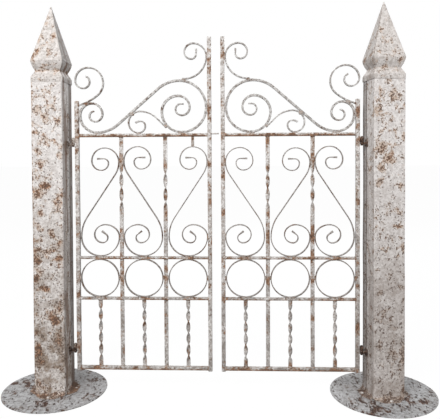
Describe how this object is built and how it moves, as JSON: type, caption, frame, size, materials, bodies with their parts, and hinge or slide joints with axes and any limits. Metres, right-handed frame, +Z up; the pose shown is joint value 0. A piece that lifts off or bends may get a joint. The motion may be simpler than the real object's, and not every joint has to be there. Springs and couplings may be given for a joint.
{
  "type": "metal garden gate",
  "caption": "Pair of scrolled wrought iron gate leaves that swing on pintles between two square sheet metal posts with pyramid caps on round base plates.",
  "frame": {"origin": "on the ground, midway between the two posts, in the plane of the closed leaves", "axes": "+X along the gate from the left post to the right post as seen from the front, +Y from front to back, +Z up"},
  "size_m": [2.1799, 0.52, 1.955],
  "materials": {
    "painted_sheet": "flaking white and grey paint over rusted sheet steel",
    "painted_bar": "worn white paint over rusted bar",
    "painted_strip": "worn white and grey paint over rusted strip",
    "rusty_fittings": "bare rusted iron with paint traces"
  },
  "bodies": {
    "root": {"left_base_disc": "painted_sheet", "left_post_shaft": "painted_sheet", "left_post_cap": "painted_sheet", "left_pintles": "rusty_fittings", "right_base_disc": "painted_sheet", "right_post_shaft": "painted_sheet", "right_post_cap": "painted_sheet", "right_pintles": "rusty_fittings"},
    "left_leaf": {"left_hinge_stile": "painted_bar", "left_free_stile": "painted_bar", "left_top_rail": "painted_bar", "left_scroll_rail": "painted_bar", "left_ring_rail": "painted_bar", "left_bottom_rail": "painted_bar", "left_long_bars": "painted_bar", "left_short_bars": "painted_bar", "left_rings": "painted_strip", "left_panel_scroll_1": "painted_strip", "left_panel_scroll_2": "painted_strip", "left_panel_scroll_3": "painted_strip", "left_crest_scroll": "painted_strip", "left_small_scroll": "painted_strip", "left_free_curl": "painted_strip", "left_hinge_curl": "painted_strip", "left_hinge_eyes": "rusty_fittings", "left_top_stub": "rusty_fittings", "left_latch_peg": "painted_bar"},
    "right_leaf": {"right_hinge_stile": "painted_bar", "right_free_stile": "painted_bar", "right_top_rail": "painted_bar", "right_scroll_rail": "painted_bar", "right_ring_rail": "painted_bar", "right_bottom_rail": "painted_bar", "right_long_bars": "painted_bar", "right_short_bars": "painted_bar", "right_rings": "painted_strip", "right_panel_scroll_1": "painted_strip", "right_panel_scroll_2": "painted_strip", "right_panel_scroll_3": "painted_strip", "right_crest_scroll": "painted_strip", "right_small_scroll": "painted_strip", "right_free_curl": "painted_strip", "right_hinge_curl": "painted_strip", "right_hinge_eyes": "rusty_fittings"}
  },
  "joints": [
    {"name": "left_hinge", "type": "hinge", "parent": "root", "child": "left_leaf", "pos_m": [-0.7235, 0, 0.75], "axis": [0, 0, -1], "range_deg": [-90, 90]},
    {"name": "right_hinge", "type": "hinge", "parent": "root", "child": "right_leaf", "pos_m": [0.7235, 0, 0.75], "axis": [0, 0, 1], "range_deg": [-90, 90]}
  ]
}
